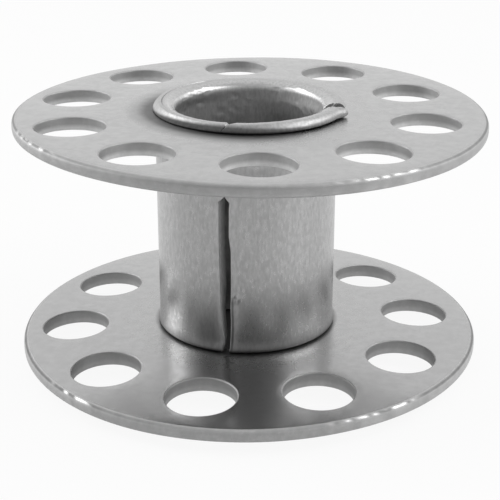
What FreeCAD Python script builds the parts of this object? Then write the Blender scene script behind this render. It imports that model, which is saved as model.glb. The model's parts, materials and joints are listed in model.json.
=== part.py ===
# Metal bobbin for a sewing machine: a rolled tube with two punched flanges riveted to its ends.
# Lengths are in millimetres and angles in degrees. +Z is the winding axis, up from the lip it stands on.
import FreeCAD
import Part
import enum
import math
import os
import Sketcher

FULL_TURN = 360
RIGHT = 0
TOP = 90
LEFT = 180
BOTTOM = 270
UP = FreeCAD.Vector(0, 0, 1)


class At(enum.IntEnum):
    """Where on a curve of a sketch a rule holds."""

    START = 1
    END = 2
    CENTRE = 3


class Own(enum.IntEnum):
    """A sketch's own axes."""

    LEVEL_AXIS = -1
    UPRIGHT_AXIS = -2


ORIGIN = (Own.LEVEL_AXIS, At.START)

doc = FreeCAD.newDocument("bobbin")
sheet = doc.addObject("Spreadsheet::Sheet", "sizes")

# Driving sizes, one named cell each
DRIVING_SIZES = {
    "overall_height": (11.5, "from the crest of one lip to the crest of the other"),
    "flange_diameter": (20.5, "outside of both flanges"),
    "flange_thickness": (0.56, "sheet the flanges are punched from"),
    "rim_round": (0.2, "tumbled edges of the rims"),
    "hole_round": (0.12, "tumbled edges of the round holes"),
    "hole_count": (10, "round holes in each flange"),
    "hole_diameter": (2.96, "each round hole"),
    "rim_width": (0.98, "metal left between a hole and the rim"),
    "upper_hole_angle": (21.8, "first hole of the upper flange, from +X"),
    "lower_hole_angle": (4.5, "first hole of the lower flange, from +X"),
    "bore_diameter": (6.4, "inside of the tube, which turns on a spindle"),
    "barrel_wall": (0.74, "strip the tube is rolled from"),
    "barrel_swell": (0.1, "how far each end of the barrel is upset outwards"),
    "swell_length": (0.7, "length of barrel over which it swells"),
    "shoulder_round": (0.15, "outer edge of each shoulder"),
    "neck_wall": (0.34, "wall of the necks inside the flanges"),
    "neck_clearance": (0.02, "gap between a neck and its flange, on the radius"),
    "lip_height": (0.5, "how far each lip stands proud of its flange"),
    "lip_overhang": (0.62, "how far each lip reaches out past its neck"),
    "lip_flat": (0.18, "flat pressed on the crest of each lip"),
    "lip_round": (0.22, "outer top edge of each lip"),
    "lip_tuck": (0.18, "outer bottom edge of each lip"),
    "seam_angle": (-13.2, "seam of the tube, from the front"),
    "seam_upper_width": (0.44, "seam at its upper end"),
    "seam_lower_width": (0.3, "seam at the lower shoulder"),
    "seam_closing": (2.22, "barrel below the upper shoulder where necking closed the seam to a split"),
    "seam_lip_width": (0.2, "split where the seam runs out through the lips"),
    "tear_angle": (90.7, "tear in the upper lip, from the seam"),
    "tear_inner_width": (0.3, "tear where it opens into the bore"),
    "tear_outer_width": (1.2, "tear just outside the lip"),
}
for row, (alias, (value, meaning)) in enumerate(DRIVING_SIZES.items(), start=1):
    sheet.set(f"A{row}", meaning)
    sheet.set(f"B{row}", str(value))
    sheet.setAlias(f"B{row}", alias)
doc.recompute()

# The most of a wall that a rounded edge may take
ROUND_SHARE = 0.54
TUCK_SHARE = 0.45
EDGE_SHARE = 0.4

# Sizes worked out from them, as the expressions that the features are bound to
CREST = "(sizes.overall_height / 2)"
FLANGE_FACE = f"({CREST} - sizes.lip_height)"
SHOULDER = f"({FLANGE_FACE} - sizes.flange_thickness)"
BORE_RADIUS = "(sizes.bore_diameter / 2)"
BARREL_RADIUS = f"({BORE_RADIUS} + sizes.barrel_wall)"
SWELL_RADIUS = f"({BARREL_RADIUS} + sizes.barrel_swell)"
SWELL_START = f"({SHOULDER} - sizes.swell_length)"
NECK_RADIUS = f"({BORE_RADIUS} + sizes.neck_wall)"
LIP_RADIUS = f"({NECK_RADIUS} + sizes.lip_overhang)"
LIP_ROUND = f"min(sizes.lip_round; sizes.lip_height * {ROUND_SHARE})"
LIP_TUCK = f"min(sizes.lip_tuck; sizes.lip_height * {TUCK_SHARE})"
FLANGE_RADIUS = "(sizes.flange_diameter / 2)"
EYE_RADIUS = f"({NECK_RADIUS} + sizes.neck_clearance)"
HOLE_RADIUS = "(sizes.hole_diameter / 2)"
HOLE_CIRCLE_RADIUS = f"({FLANGE_RADIUS} - sizes.rim_width - {HOLE_RADIUS})"
RIM_ROUND = f"min(sizes.rim_round; sizes.flange_thickness * {EDGE_SHARE})"
HOLE_ROUND = f"min(sizes.hole_round; sizes.flange_thickness * {EDGE_SHARE})"
SEAM_TOP = f"({SHOULDER} - sizes.seam_closing)"
SPLIT_REACH = f"({CREST} + sizes.lip_height)"
TEAR_START = f"({BORE_RADIUS} - sizes.neck_wall)"
TEAR_END = f"({LIP_RADIUS} + sizes.neck_wall)"


# Helpers for bodies and sketches
def now(expression):
    """Return the number that an expression on the sheet gives now."""
    return float(sheet.evalExpression(expression))


def new_body(name):
    """Add a body under its own name."""
    body = doc.addObject("PartDesign::Body", name)
    body.Label = name
    return body


def origin_plane(body, role):
    """Return one of a body's own origin planes."""
    return next(plane for plane in body.Origin.OriginFeatures if plane.Role == role)


def sketch_on(body, role, name):
    """Add a sketch to a body, on one of its origin planes."""
    sketch = body.newObject("Sketcher::SketchObject", name)
    sketch.AttachmentSupport = [(origin_plane(body, role), "")]
    sketch.MapMode = "FlatFace"
    return sketch


def line(start, end):
    """Return a straight run between two points of a sketch."""
    return Part.LineSegment(FreeCAD.Vector(*start), FreeCAD.Vector(*end))


def arc(centre, radius, start, end):
    """Return an arc drawn anticlockwise between two angles in degrees."""
    circle = Part.Circle(FreeCAD.Vector(*centre), UP, radius)
    return Part.ArcOfCircle(circle, math.radians(start), math.radians(end))


def draw_loop(sketch, runs):
    """Draw a closed chain of runs: each is a curve, the point it is left by and how it meets the next."""
    curves = [sketch.addGeometry(curve) for curve, leave, joint in runs]
    for here, (curve, leave, joint) in enumerate(runs):
        following = (here + 1) % len(runs)
        arrive = At.START if runs[following][1] == At.END else At.END
        sketch.addConstraint(Sketcher.Constraint(joint, curves[here], leave, curves[following], arrive))
    return curves


def draw_polygon(sketch, corners):
    """Draw a closed outline of straight runs through the corners."""
    ends = corners[1:] + corners[:1]
    return draw_loop(sketch, [(line(a, b), At.END, "Coincident") for a, b in zip(corners, ends)])


def hold(sketch, kind, *where):
    """Add a rule with no size to a sketch."""
    sketch.addConstraint(Sketcher.Constraint(kind, *where))


def pin(sketch, name, kind, where, expression):
    """Add a named dimension to a sketch and bind it to the sheet."""
    index = sketch.addConstraint(Sketcher.Constraint(kind, *where, now(expression)))
    sketch.renameConstraint(index, name)
    sketch.setExpression(f"Constraints.{name}", expression)


def hold_square(sketch, *level_runs):
    """Keep level runs centred on a sketch's upright axis."""
    for run in level_runs:
        hold(sketch, "Symmetric", run, At.START, run, At.END, Own.UPRIGHT_AXIS)


def pin_width(sketch, name, run, expression):
    """Bind the length of a level run, whichever way it is drawn."""
    curve = sketch.Geometry[run]
    drawn_rightwards = curve.StartPoint.x < curve.EndPoint.x
    left, right = (At.START, At.END) if drawn_rightwards else (At.END, At.START)
    pin(sketch, name, "DistanceX", (run, left, run, right), expression)


def place(item, holder, turn, height):
    """Turn an item about the winding axis and lift it, by expressions on the sheet."""
    setattr(item, holder, FreeCAD.Placement(FreeCAD.Vector(), FreeCAD.Rotation(UP, now(turn))))
    item.setExpression(f"{holder}.Rotation.Angle", f"{turn} * 1 deg")
    item.setExpression(f"{holder}.Base.z", height)


def cut_through(body, sketch, name):
    """Pocket a sketch through the metal on the side its plane faces."""
    pocket = body.newObject("PartDesign::Pocket", name)
    pocket.Profile = sketch
    pocket.Type = "ThroughAll"
    pocket.Reversed = True
    doc.recompute()
    return pocket


# Core tube: half of the rolled wall, with its neck and flared lip, is turned and then mirrored
tube = new_body("core_tube")
section = sketch_on(tube, "XZ_Plane", "tube_section")

crest = now(CREST)
flange_face = now(FLANGE_FACE)
shoulder = now(SHOULDER)
swell_start = now(SWELL_START)
bore = now(BORE_RADIUS)
barrel = now(BARREL_RADIUS)
swell = now(SWELL_RADIUS)
neck = now(NECK_RADIUS)
lip = now(LIP_RADIUS)
edge = now("sizes.shoulder_round")
lip_round = now(LIP_ROUND)
lip_tuck = now(LIP_TUCK)
flare = lip - lip_round - now("sizes.lip_flat") - bore
swell_rise = shoulder - edge - swell_start
swell_curve = (swell_rise**2 + (swell - barrel) ** 2) / (2 * (swell - barrel))
swell_turn = math.degrees(math.asin(swell_rise / swell_curve))
swell_centre = (barrel + swell_curve, swell_start)

(
    middle_run,
    barrel_run,
    swell_run,
    edge_run,
    shoulder_run,
    neck_run,
    underside_run,
    tuck_run,
    lip_run,
    round_run,
    crest_run,
    flare_run,
    bore_run,
) = draw_loop(
    section,
    [
        (line((bore, 0), (barrel, 0)), At.END, "Coincident"),
        (line((barrel, 0), (barrel, swell_start)), At.END, "Tangent"),
        (arc(swell_centre, swell_curve, LEFT - swell_turn, LEFT), At.START, "Coincident"),
        (arc((swell - edge, shoulder - edge), edge, RIGHT, TOP), At.END, "Tangent"),
        (line((swell - edge, shoulder), (neck, shoulder)), At.END, "Coincident"),
        (line((neck, shoulder), (neck, flange_face)), At.END, "Coincident"),
        (line((neck, flange_face), (lip - lip_tuck, flange_face)), At.END, "Tangent"),
        (arc((lip - lip_tuck, flange_face + lip_tuck), lip_tuck, BOTTOM, FULL_TURN), At.END, "Tangent"),
        (line((lip, flange_face + lip_tuck), (lip, crest - lip_round)), At.END, "Tangent"),
        (arc((lip - lip_round, crest - lip_round), lip_round, RIGHT, TOP), At.END, "Tangent"),
        (line((lip - lip_round, crest), (bore + flare, crest)), At.END, "Tangent"),
        (arc((bore + flare, crest - flare), flare, TOP, LEFT), At.END, "Tangent"),
        (line((bore, crest - flare), (bore, 0)), At.END, "Coincident"),
    ],
)
for upright in (barrel_run, neck_run, lip_run, bore_run):
    hold(section, "Vertical", upright)
for level in (middle_run, shoulder_run, underside_run, crest_run):
    hold(section, "Horizontal", level)
hold(section, "Horizontal", edge_run, At.START, edge_run, At.CENTRE)
hold(section, "PointOnObject", middle_run, At.START, Own.LEVEL_AXIS)
pin(section, "bore_radius", "DistanceX", (*ORIGIN, bore_run, At.END), BORE_RADIUS)
pin(section, "barrel_radius", "DistanceX", (*ORIGIN, barrel_run, At.START), BARREL_RADIUS)
pin(section, "swell_radius", "DistanceX", (*ORIGIN, swell_run, At.START), SWELL_RADIUS)
pin(section, "neck_radius", "DistanceX", (*ORIGIN, neck_run, At.START), NECK_RADIUS)
pin(section, "lip_radius", "DistanceX", (*ORIGIN, lip_run, At.START), LIP_RADIUS)
pin(section, "swell_start", "DistanceY", (*ORIGIN, barrel_run, At.END), SWELL_START)
pin(section, "shoulder", "DistanceY", (*ORIGIN, shoulder_run, At.START), SHOULDER)
pin(section, "flange_face", "DistanceY", (*ORIGIN, underside_run, At.START), FLANGE_FACE)
pin(section, "crest", "DistanceY", (*ORIGIN, crest_run, At.START), CREST)
pin(section, "lip_flat", "DistanceX", (crest_run, At.END, crest_run, At.START), "sizes.lip_flat")
pin(section, "shoulder_round", "Radius", (edge_run,), "sizes.shoulder_round")
pin(section, "lip_tuck", "Radius", (tuck_run,), LIP_TUCK)
pin(section, "lip_round", "Radius", (round_run,), LIP_ROUND)
doc.recompute()

half_tube = tube.newObject("PartDesign::Revolution", "half_tube")
half_tube.Profile = section
half_tube.ReferenceAxis = (section, ["V_Axis"])
half_tube.Angle = FULL_TURN
doc.recompute()

whole_tube = tube.newObject("PartDesign::Mirrored", "whole_tube")
whole_tube.Originals = [half_tube]
whole_tube.MirrorPlane = (origin_plane(tube, "XY_Plane"), [""])
tube.Tip = whole_tube
doc.recompute()

# Seam: the rolled edges stand apart along the barrel, and close to a split near its top and in the lips
half_upper = now("sizes.seam_upper_width") / 2
half_lower = now("sizes.seam_lower_width") / 2
seam_top = now(SEAM_TOP)
seam = sketch_on(tube, "XZ_Plane", "seam_outline")
lower_edge, right_edge, upper_edge, left_edge = draw_polygon(
    seam,
    [(-half_lower, -shoulder), (half_lower, -shoulder), (half_upper, seam_top), (-half_upper, seam_top)],
)
hold_square(seam, lower_edge, upper_edge)
pin_width(seam, "lower_width", lower_edge, "sizes.seam_lower_width")
pin_width(seam, "upper_width", upper_edge, "sizes.seam_upper_width")
pin(seam, "lower_end", "DistanceY", (lower_edge, At.START, *ORIGIN), SHOULDER)
pin(seam, "upper_end", "DistanceY", (*ORIGIN, upper_edge, At.START), SEAM_TOP)
cut_through(tube, seam, "seam")

half_split = now("sizes.seam_lip_width") / 2
reach = now(SPLIT_REACH)
split = sketch_on(tube, "XZ_Plane", "lip_split_outline")
lower_edge, right_edge, upper_edge, left_edge = draw_polygon(
    split,
    [(-half_split, -reach), (half_split, -reach), (half_split, reach), (-half_split, reach)],
)
hold_square(split, lower_edge, upper_edge)
hold(split, "Vertical", right_edge)
pin_width(split, "width", lower_edge, "sizes.seam_lip_width")
pin(split, "lower_end", "DistanceY", (lower_edge, At.START, *ORIGIN), SPLIT_REACH)
pin(split, "upper_end", "DistanceY", (*ORIGIN, upper_edge, At.START), SPLIT_REACH)
cut_through(tube, split, "lip_split")

# Tear: the upper lip gave way at one place when it was flared
half_inner = now("sizes.tear_inner_width") / 2
half_outer = now("sizes.tear_outer_width") / 2
tear_start = now(TEAR_START)
tear_end = now(TEAR_END)
tear_outline = sketch_on(tube, "XY_Plane", "tear_outline")
outer_edge, right_edge, inner_edge, left_edge = draw_polygon(
    tear_outline,
    [
        (-half_outer, -tear_end),
        (half_outer, -tear_end),
        (half_inner, -tear_start),
        (-half_inner, -tear_start),
    ],
)
hold_square(tear_outline, outer_edge, inner_edge)
pin_width(tear_outline, "outer_width", outer_edge, "sizes.tear_outer_width")
pin_width(tear_outline, "inner_width", inner_edge, "sizes.tear_inner_width")
pin(tear_outline, "outer_end", "DistanceY", (outer_edge, At.START, *ORIGIN), TEAR_END)
pin(tear_outline, "inner_end", "DistanceY", (inner_edge, At.START, *ORIGIN), TEAR_START)
place(tear_outline, "AttachmentOffset", "sizes.tear_angle", FLANGE_FACE)
doc.recompute()
cut_through(tube, tear_outline, "tear")

place(tube, "Placement", "sizes.seam_angle", CREST)
doc.recompute()


# Flanges: a punched disc with a ring of holes, and every edge but those of its eye tumbled round
def round_edges(body, base, name, radius, edge_round):
    """Round the circular edges of one radius, and return the fillet."""
    edges = [
        f"Edge{number}"
        for number, edge in enumerate(base.Shape.Edges, start=1)
        if isinstance(edge.Curve, Part.Circle) and math.isclose(edge.Curve.Radius, now(radius))
    ]
    fillet = body.newObject("PartDesign::Fillet", name)
    fillet.Base = (base, edges)
    fillet.setExpression("Radius", edge_round)
    doc.recompute()
    return fillet


def make_flange(name, height, first_hole):
    """Build one flange with its lower face at the height, and turn it to its first hole."""
    body = new_body(name)
    outline = sketch_on(body, "XY_Plane", f"{name}_outline")
    rim = outline.addGeometry(Part.Circle(FreeCAD.Vector(), UP, now(FLANGE_RADIUS)))
    eye = outline.addGeometry(Part.Circle(FreeCAD.Vector(), UP, now(EYE_RADIUS)))
    for ring in (rim, eye):
        hold(outline, "Coincident", ring, At.CENTRE, *ORIGIN)
    pin(outline, "rim_radius", "Radius", (rim,), FLANGE_RADIUS)
    pin(outline, "eye_radius", "Radius", (eye,), EYE_RADIUS)
    disc = body.newObject("PartDesign::Pad", f"{name}_disc")
    disc.Profile = outline
    disc.setExpression("Length", "sizes.flange_thickness")
    doc.recompute()

    hole_centre = FreeCAD.Vector(now(HOLE_CIRCLE_RADIUS), 0, 0)
    hole_outline = sketch_on(body, "XY_Plane", f"{name}_hole_outline")
    ring = hole_outline.addGeometry(Part.Circle(hole_centre, UP, now(HOLE_RADIUS)))
    hold(hole_outline, "PointOnObject", ring, At.CENTRE, Own.LEVEL_AXIS)
    pin(hole_outline, "hole_radius", "Radius", (ring,), HOLE_RADIUS)
    pin(hole_outline, "hole_circle", "DistanceX", (*ORIGIN, ring, At.CENTRE), HOLE_CIRCLE_RADIUS)
    hole = cut_through(body, hole_outline, f"{name}_hole")

    holes = body.newObject("PartDesign::PolarPattern", f"{name}_holes")
    holes.Originals = [hole]
    holes.Axis = (hole_outline, ["N_Axis"])
    holes.Angle = FULL_TURN
    holes.setExpression("Occurrences", "sizes.hole_count")
    body.Tip = holes
    doc.recompute()

    rounded_rim = round_edges(body, holes, f"{name}_rounded_rim", FLANGE_RADIUS, RIM_ROUND)
    round_edges(body, rounded_rim, f"{name}_rounded_holes", HOLE_RADIUS, HOLE_ROUND)
    place(body, "Placement", first_hole, height)
    doc.recompute()
    return body


lower_flange = make_flange("lower_flange", f"{CREST} - {FLANGE_FACE}", "sizes.lower_hole_angle")
upper_flange = make_flange("upper_flange", f"{CREST} + {SHOULDER}", "sizes.upper_hole_angle")

# Check every object, then write one file for each piece
for item in doc.Objects:
    if "Invalid" in item.State or "Error" in item.State:
        raise RuntimeError(f"{item.Label} did not build: {item.State}")
os.makedirs("parts", exist_ok=True)
for body in (tube, lower_flange, upper_flange):
    if body.Shape.isNull() or not body.Shape.isValid() or len(body.Shape.Solids) != 1:
        raise RuntimeError(f"{body.Label} is not one sound solid")
    body.Shape.exportStep(f"parts/{body.Label}.step")
    print(f"{body.Label}: {body.Shape.Volume:.3f} mm3, {len(body.Shape.Faces)} faces")
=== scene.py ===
# %% [markdown]
# # A metal sewing machine bobbin
#
# The bobbin is three pieces of plated sheet steel: a strip rolled into a tube, and two punched discs.
# The tube's ends go through the discs and are flared over them, and that holds the bobbin together.
# This lesson loads the measured model as a frame and makes each piece again with the marks of its making:
# the open seam, the torn lip, the rounded edges of the punched holes and the satin of the plating.

# %% Load the frame
import json
import math
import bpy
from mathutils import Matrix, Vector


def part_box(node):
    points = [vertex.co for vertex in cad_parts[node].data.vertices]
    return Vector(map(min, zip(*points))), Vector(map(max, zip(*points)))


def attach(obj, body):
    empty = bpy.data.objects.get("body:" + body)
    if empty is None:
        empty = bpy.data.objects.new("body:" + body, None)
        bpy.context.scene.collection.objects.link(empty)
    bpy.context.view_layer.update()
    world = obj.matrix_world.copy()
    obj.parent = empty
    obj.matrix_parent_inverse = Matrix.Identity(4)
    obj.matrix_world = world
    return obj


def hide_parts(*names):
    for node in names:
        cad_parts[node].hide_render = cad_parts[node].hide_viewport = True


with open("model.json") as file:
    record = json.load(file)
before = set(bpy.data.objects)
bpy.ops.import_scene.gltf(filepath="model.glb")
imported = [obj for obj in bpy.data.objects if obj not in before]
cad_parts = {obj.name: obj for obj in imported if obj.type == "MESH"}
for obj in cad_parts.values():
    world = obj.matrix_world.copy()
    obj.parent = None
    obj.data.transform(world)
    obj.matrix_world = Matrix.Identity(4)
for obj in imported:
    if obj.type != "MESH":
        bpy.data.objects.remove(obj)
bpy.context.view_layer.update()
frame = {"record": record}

from types import SimpleNamespace

import bmesh
import bpy
from mathutils import Vector, noise
from mathutils.geometry import delaunay_2d_cdt, tessellate_polygon

MM = 0.001

# %% [markdown]
# ## Sizes
#
# A piece that stands for a node keeps the node's form and place, so the main sizes are read from the frame.
# The work is done in millimetres, the unit a toolmaker would use, and turned into metres when a mesh is made.

# %% Read the main sizes from the frame
def box_mm(node):
    """Lowest and highest corner of a node, in millimetres."""
    low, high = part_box(node)
    return low / MM, high / MM


tube_low, tube_high = box_mm("core_tube")
upper_low, upper_high = box_mm("upper_flange")
lower_low, lower_high = box_mm("lower_flange")
spindle_bore = next(m for m in frame["record"]["mounts"] if m["name"] == "spindle_bore")

HEIGHT = tube_high.z
MIDDLE = HEIGHT / 2
LIP_RADIUS = -tube_low.x
FLANGE_RADIUS = upper_high.x
FLANGE_THICKNESS = upper_high.z - upper_low.z
BORE_RADIUS = spindle_bore["dims"]["r_mm"]
FLARE_RADIUS = (HEIGHT - spindle_bore["dims"]["length_mm"]) / 2
CREST_INSIDE = BORE_RADIUS + FLARE_RADIUS
print("height", round(HEIGHT, 3), "flange", round(FLANGE_RADIUS, 3), "x", round(FLANGE_THICKNESS, 3),
      "lip", round(LIP_RADIUS, 3), "bore", BORE_RADIUS, "flare", round(FLARE_RADIUS, 3))

# %% [markdown]
# ## Camera
#
# The bobbin is seen from the front and a little above, with a long lens from close by.
# The camera's place is given in millimetres from the middle of the foot of the bobbin.
# A camera without a tilt to the side needs only a place and a point to look at.

# %% Set the camera
CAMERA_PLACE = Vector((0.048, -53.075, 25.446))
CAMERA_AIM = Vector((0.048, 0.0, 4.509))
CAMERA_LENS = 91.02
CAMERA_SENSOR = 36.0
NEAREST_SEEN, FURTHEST_SEEN = 1, 10000

camera_data = bpy.data.cameras.new("table_camera")
camera_data.lens = CAMERA_LENS
camera_data.sensor_width = CAMERA_SENSOR
camera_data.clip_start = NEAREST_SEEN * MM
camera_data.clip_end = FURTHEST_SEEN * MM
camera = bpy.data.objects.new("table_camera", camera_data)
camera.location = CAMERA_PLACE * MM
camera.rotation_euler = (CAMERA_AIM - CAMERA_PLACE).to_track_quat("-Z", "Y").to_euler()
bpy.context.scene.collection.objects.link(camera)
bpy.context.scene.camera = camera
bpy.context.scene.view_settings.view_transform = "Standard"
print("camera", round((CAMERA_AIM - CAMERA_PLACE).length, 2), "mm from the bobbin")

# %% [markdown]
# ## A white tent for shiny metal
#
# Metal shows what stands round it, so a shiny part is photographed in a white tent.
# The tent is open at the front, where the camera looks in from a darker room.
# That gives the metal its dark sides.
# The world is that tent: it goes evenly from the dim front to white behind the bobbin.
# It is white where the camera sees it.

# %% Node helpers
def add_node(tree, kind, **settings):
    """A node with its settings made, and its unlinked sockets set by name or number."""
    node = tree.nodes.new(kind)
    sockets = settings.pop("sockets", {})
    for name, value in settings.items():
        setattr(node, name, value)
    for name, value in sockets.items():
        node.inputs[name].default_value = value
    return node


def map_range(tree, value, low, high, to_low, to_high, shape="SMOOTHSTEP"):
    """Turns a value from one range into another and returns the socket."""
    node = add_node(tree, "ShaderNodeMapRange", interpolation_type=shape,
                    sockets={"From Min": low, "From Max": high, "To Min": to_low, "To Max": to_high})
    tree.links.new(value, node.inputs["Value"])
    return node.outputs["Result"]


def math_node(tree, operation, first, second):
    """One step of arithmetic on two values, each a socket or a number. Returns the socket."""
    node = add_node(tree, "ShaderNodeMath", operation=operation)
    for socket, value in zip(node.inputs, (first, second)):
        if isinstance(value, bpy.types.NodeSocket):
            tree.links.new(value, socket)
        else:
            socket.default_value = value
    return node.outputs["Value"]


def node_material(name):
    """A material with an empty node tree and its output node."""
    material = bpy.data.materials.new(name)
    material.use_nodes = True
    material.node_tree.nodes.clear()
    return material, material.node_tree, material.node_tree.nodes.new("ShaderNodeOutputMaterial")


# %% Make the tent
ROOM_LEVEL, CLOTH_LEVEL = 0.13, 1.0
FRONT, CLOTH_FROM = -1.0, 0.3

world = bpy.data.worlds.new("white_tent")
world.use_nodes = True
bpy.context.scene.world = world
tent = world.node_tree
direction = add_node(tent, "ShaderNodeSeparateXYZ")
tent.links.new(add_node(tent, "ShaderNodeTexCoord").outputs["Generated"], direction.inputs["Vector"])
cloth = map_range(tent, direction.outputs["Y"], FRONT, CLOTH_FROM, ROOM_LEVEL, CLOTH_LEVEL, "LINEAR")
seen_by_camera = add_node(tent, "ShaderNodeLightPath").outputs["Is Camera Ray"]
tent.links.new(math_node(tent, "MAXIMUM", cloth, seen_by_camera), tent.nodes["Background"].inputs["Color"])
print("world:", world.name, "from", ROOM_LEVEL, "at the front to", CLOTH_LEVEL)

# %% [markdown]
# ## Soft lamps
#
# Two soft boxes shine through the cloth, a wide one high at the right and a tall one at the left.
# They draw the bright patches on the rounded rims, the lip and the right side of the tube.
# A lamp's strength is given as its radiance: how many times brighter than white it shows in a mirror.

# %% Hang the soft lamps
def soft_box(name, place, width, height, radiance):
    """An area lamp that looks at the middle of the bobbin. Place and size in millimetres."""
    lamp_data = bpy.data.lights.new(name, "AREA")
    lamp_data.shape = "RECTANGLE"
    lamp_data.size, lamp_data.size_y = width * MM, height * MM
    lamp_data.energy = radiance * math.pi * lamp_data.size * lamp_data.size_y
    lamp = bpy.data.objects.new(name, lamp_data)
    lamp.location = Vector(place) * MM
    lamp.rotation_euler = (Vector((0, 0, MIDDLE)) - Vector(place)).to_track_quat("-Z", "Y").to_euler()
    lamp.visible_camera = False
    bpy.context.scene.collection.objects.link(lamp)
    return lamp


soft_box("soft_box_right", place=(100, -12, 100), width=110, height=75, radiance=2.6)
soft_box("soft_box_left", place=(-116, 38, 79), width=68, height=115, radiance=2.8)

# %% [markdown]
# ## Floor
#
# The table is a pale sheet of plastic, lit from below until it looks white.
# So most of its colour is given as white where the camera sees it, and a part of it where metal mirrors it;
# that mirrored part is painted dimmer towards the front, as painted shade.
# The rest is lit by the tent, so the bobbin keeps its shadow.
# The glow fades where the bobbin stands close over the sheet, as a painted shadow, and the sheet is painted
# dark at the foot of the bore, as painted shade.

# %% Mix the table's material
TENT_WHITE = (1.0, 1.0, 1.0, 1.0)
FLOOR_COLOR, FLOOR_IN_BORE = 0.72, 0.12
GLOW_TO_CAMERA = 0.92
GLOW_FRONT, GLOW_SIDES = 0.02, 0.95
GLOW_TOWARDS = (0.45, 0.89, 0.0)
GLOW_FRONT_AT, GLOW_SIDES_AT = -18, -2
SHADOW_REACH, SHADOW_SAMPLES = 7, 8

floor_paper, paper, paper_output = node_material("lit_table")
lit_paper = add_node(paper, "ShaderNodeBsdfDiffuse")
white_paper = add_node(paper, "ShaderNodeEmission", sockets={"Color": TENT_WHITE, "Strength": 1.0})
rays = add_node(paper, "ShaderNodeLightPath").outputs
open_sky = add_node(paper, "ShaderNodeAmbientOcclusion", samples=SHADOW_SAMPLES,
                    sockets={"Distance": SHADOW_REACH * MM})
place_on_floor = add_node(paper, "ShaderNodeTexCoord").outputs["Object"]

# Painted shade in the glow that metal mirrors: dimmer towards the front and where the bobbin stands close.
mirrored = math_node(paper, "MAXIMUM", rays["Is Glossy Ray"], rays["Is Transmission Ray"])
across_floor = add_node(paper, "ShaderNodeVectorMath", operation="DOT_PRODUCT")
across_floor.inputs[1].default_value = GLOW_TOWARDS
paper.links.new(place_on_floor, across_floor.inputs[0])
glow_in_metal = map_range(paper, across_floor.outputs["Value"], GLOW_FRONT_AT * MM, GLOW_SIDES_AT * MM,
                          GLOW_FRONT, GLOW_SIDES)
mirrored_glow = math_node(paper, "MULTIPLY", math_node(paper, "MULTIPLY", mirrored, glow_in_metal),
                          open_sky.outputs["AO"])

from_axis = add_node(paper, "ShaderNodeVectorMath", operation="LENGTH")
paper.links.new(place_on_floor, from_axis.inputs[0])
# Painted shade: the sheet is dark at the foot of the bore, and gives the camera no glow there.
shaded = (from_axis.outputs["Value"], CREST_INSIDE * MM, LIP_RADIUS * MM)
paper.links.new(map_range(paper, *shaded, FLOOR_IN_BORE, FLOOR_COLOR), lit_paper.inputs["Color"])
out_of_bore = map_range(paper, *shaded, 0.0, GLOW_TO_CAMERA)
seen_glow = math_node(paper, "MULTIPLY", rays["Is Camera Ray"], out_of_bore)

paper_mix = add_node(paper, "ShaderNodeMixShader")
paper.links.new(math_node(paper, "MAXIMUM", seen_glow, mirrored_glow), paper_mix.inputs["Fac"])
paper.links.new(lit_paper.outputs["BSDF"], paper_mix.inputs[1])
paper.links.new(white_paper.outputs["Emission"], paper_mix.inputs[2])
paper.links.new(paper_mix.outputs["Shader"], paper_output.inputs["Surface"])
print("material", floor_paper.name, "shows", GLOW_TO_CAMERA, "of white to the camera")

# %% Lay the floor
FLOOR_HALF_WIDTH = 900
FLOOR_GAP = 0.01

floor_mesh = bpy.data.meshes.new("floor")
floor_corners = [(-1, -1), (1, -1), (1, 1), (-1, 1)]
floor_mesh.from_pydata([Vector((x * FLOOR_HALF_WIDTH, y * FLOOR_HALF_WIDTH, -FLOOR_GAP)) * MM
                        for x, y in floor_corners], [], [(0, 1, 2, 3)])
floor_mesh.materials.append(floor_paper)
floor = bpy.data.objects.new("floor", floor_mesh)
bpy.context.scene.collection.objects.link(floor)
print("floor", 2 * FLOOR_HALF_WIDTH, "mm square")

# %% [markdown]
# ## Marks that all the steel shares
#
# Plated steel is never one even grey. The plating is cloudy, and the blanks are tumbled together and pick up
# fine scratches.
# Each of these is a node group with named sockets, so that each material can use it at its own strength.

# %% Node group helpers
PER_MM = 1 / MM


def node_group(name, inputs, outputs):
    """An empty shader node group with named sockets. Returns the group, its input and its output node."""
    group = bpy.data.node_groups.new(name, "ShaderNodeTree")
    for socket, kind, value in inputs:
        made = group.interface.new_socket(name=socket, in_out="INPUT", socket_type=kind)
        if value is not None:
            made.default_value = value
    for socket, kind in outputs:
        group.interface.new_socket(name=socket, in_out="OUTPUT", socket_type=kind)
    return group, group.nodes.new("NodeGroupInput"), group.nodes.new("NodeGroupOutput")


def stretched(tree, vector, stretch):
    """The same place with each axis multiplied, so that a pattern can run along one axis."""
    node = add_node(tree, "ShaderNodeVectorMath", operation="MULTIPLY")
    node.inputs[1].default_value = stretch
    tree.links.new(vector, node.inputs[0])
    return node.outputs["Vector"]


# %% Clouds in the plating
CLOUD_BREAKUP = 0.62
CLOUD_DARK, CLOUD_LIGHT = 0.32, 0.68

clouds, clouds_in, clouds_out = node_group(
    "plating_clouds",
    [("Place", "NodeSocketVector", None), ("Size per mm", "NodeSocketFloat", 1.0),
     ("Detail", "NodeSocketFloat", 5.0)],
    [("Cloud", "NodeSocketFloat")])
cloud_noise = add_node(clouds, "ShaderNodeTexNoise", noise_dimensions="3D",
                       sockets={"Roughness": CLOUD_BREAKUP})
cloud_scale = math_node(clouds, "MULTIPLY", clouds_in.outputs["Size per mm"], PER_MM)
clouds.links.new(clouds_in.outputs["Place"], cloud_noise.inputs["Vector"])
clouds.links.new(cloud_scale, cloud_noise.inputs["Scale"])
clouds.links.new(clouds_in.outputs["Detail"], cloud_noise.inputs["Detail"])
cloud_spread = map_range(clouds, cloud_noise.outputs["Fac"], CLOUD_DARK, CLOUD_LIGHT, 0.0, 1.0)
clouds.links.new(cloud_spread, clouds_out.inputs["Cloud"])
print("node group", clouds.name)

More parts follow.
